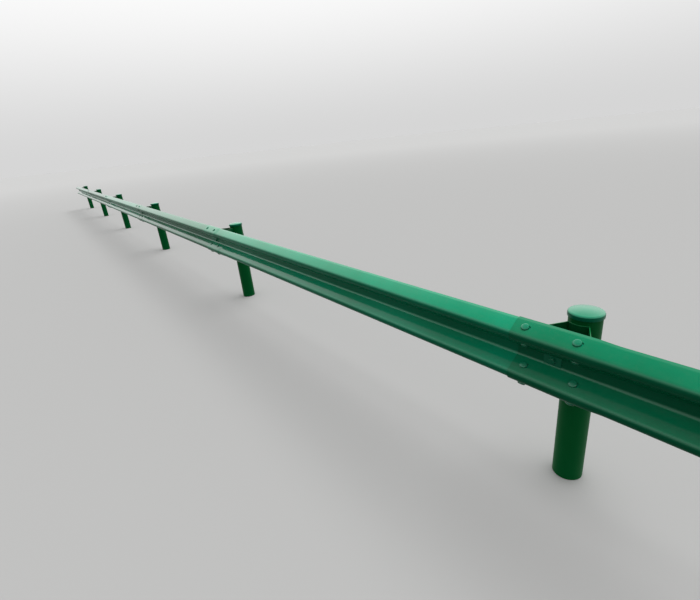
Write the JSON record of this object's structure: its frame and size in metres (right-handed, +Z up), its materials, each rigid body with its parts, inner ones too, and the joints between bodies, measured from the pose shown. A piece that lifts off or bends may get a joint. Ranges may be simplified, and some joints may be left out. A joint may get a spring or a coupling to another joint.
{
  "type": "highway guardrail section",
  "caption": "Straight run of two-wave road guardrail: beam panels lapped at round capped posts, with hexagonal block-outs between.",
  "frame": {"origin": "centre of the middle post's foot, at ground level", "axes": "+X along the run to the right as seen from the road, +Y away from the road, +Z up"},
  "size_m": [24.32, 0.4128, 0.9192],
  "materials": {
    "post": "dark green powder coat, glossy",
    "cap": "green powder coat, glossy",
    "block": "dark green powder coat, glossy",
    "panel": "green powder coat, glossy"
  },
  "bodies": {
    "root": {"post_1": "post", "post_2": "post", "post_3": "post", "post_4": "post", "post_5": "post", "post_6": "post", "post_7": "post", "cap_1": "cap", "cap_2": "cap", "cap_3": "cap", "cap_4": "cap", "cap_5": "cap", "cap_6": "cap", "cap_7": "cap", "block_1": "block", "block_2": "block", "block_3": "block", "block_4": "block", "block_5": "block", "block_6": "block", "block_7": "block", "panel_1": "panel", "panel_2": "panel", "panel_3": "panel", "panel_4": "panel", "panel_5": "panel", "panel_6": "panel"}
  },
  "joints": []
}
